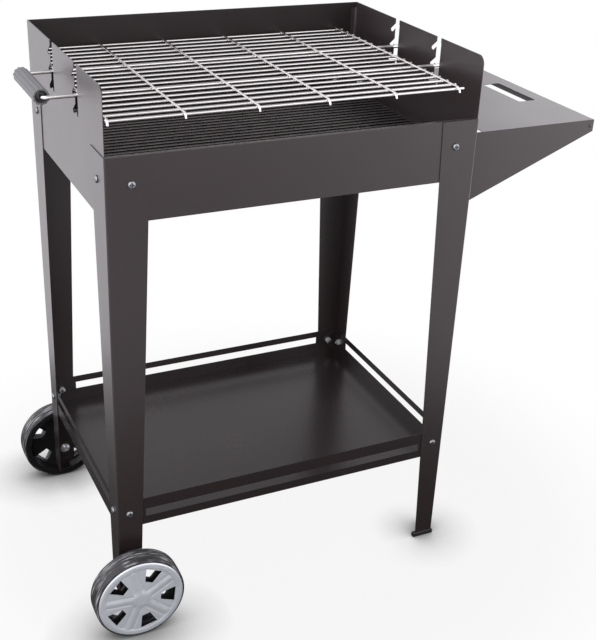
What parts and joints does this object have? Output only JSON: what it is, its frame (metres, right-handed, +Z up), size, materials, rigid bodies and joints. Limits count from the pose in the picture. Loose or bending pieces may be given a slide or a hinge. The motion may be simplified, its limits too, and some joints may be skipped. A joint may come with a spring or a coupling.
{
  "type": "charcoal barbecue trolley",
  "caption": "Open charcoal barbecue with a wind shield, lift-off wire grid, low shelf tray and side table on tapered sheet legs with wheels at one end.",
  "frame": {"origin": "on the ground below the middle of the whole object's box", "axes": "+X to the side table, -Y the open front, +Z up"},
  "size_m": [0.9072, 0.5282, 0.894],
  "materials": {
    "black_paint": "semi-gloss anthracite stove paint on folded sheet",
    "grate_black": "dull black heat-resistant paint on steel wire",
    "chrome_wire": "bright chromed wire",
    "grip_plastic": "satin dark moulded plastic",
    "wheel_plastic": "black moulded plastic with a ribbed tread",
    "wheel_cap": "light grey moulded plastic",
    "foot_plastic": "black moulded plastic",
    "zinc": "bright zinc plate"
  },
  "bodies": {
    "frame": {"leg_front_left": "black_paint", "leg_rear_left": "black_paint", "leg_front_right": "black_paint", "leg_rear_right": "black_paint", "front_panel": "black_paint", "back_panel": "black_paint", "left_panel": "black_paint", "right_panel": "black_paint", "firebox_floor": "black_paint", "grate_ledge_left": "black_paint", "grate_ledge_right": "black_paint", "shelf_tray": "black_paint", "side_table": "black_paint", "foot_front_right": "foot_plastic", "foot_rear_right": "foot_plastic", "firebox_screws": "zinc", "firebox_nuts": "zinc", "shelf_screws": "zinc", "shelf_nuts": "zinc", "table_screws": "zinc", "table_nuts": "zinc", "table_rivets": "zinc", "axle_bolt_front": "zinc", "axle_bolt_rear": "zinc", "axle_washer_front": "zinc", "axle_washer_rear": "zinc", "axle_nuts": "zinc"},
    "grill": {"grid_long_wires": "chrome_wire", "grid_cross_wires": "chrome_wire", "grid_rod": "chrome_wire"},
    "grip": {"handle_grip": "grip_plastic"},
    "charcoal_grate": {"grate_bars": "grate_black", "grate_runners": "grate_black"},
    "front_wheel": {"wheel_front": "wheel_plastic", "wheel_cap_front": "wheel_cap"},
    "rear_wheel": {"wheel_rear": "wheel_plastic", "wheel_cap_rear": "wheel_cap"}
  },
  "joints": [
    {"name": "grill_lift", "type": "slide", "parent": "frame", "child": "grill", "axis": [0, 0, 1], "range_m": [0, 0.1]},
    {"name": "grip_turn", "type": "hinge", "parent": "grill", "child": "grip", "pos_m": [-0.44135, -0.0065, 0.8473], "axis": [0, 1, 0], "continuous": true},
    {"name": "charcoal_grate_lift", "type": "slide", "parent": "frame", "child": "charcoal_grate", "axis": [0, 0, 1], "range_m": [0, 0.08]},
    {"name": "front_wheel_turn", "type": "hinge", "parent": "frame", "child": "front_wheel", "pos_m": [-0.37635, -0.2435, 0.074], "axis": [0, 1, 0], "continuous": true},
    {"name": "rear_wheel_turn", "type": "hinge", "parent": "frame", "child": "rear_wheel", "pos_m": [-0.37635, 0.2435, 0.074], "axis": [0, 1, 0], "continuous": true}
  ]
}
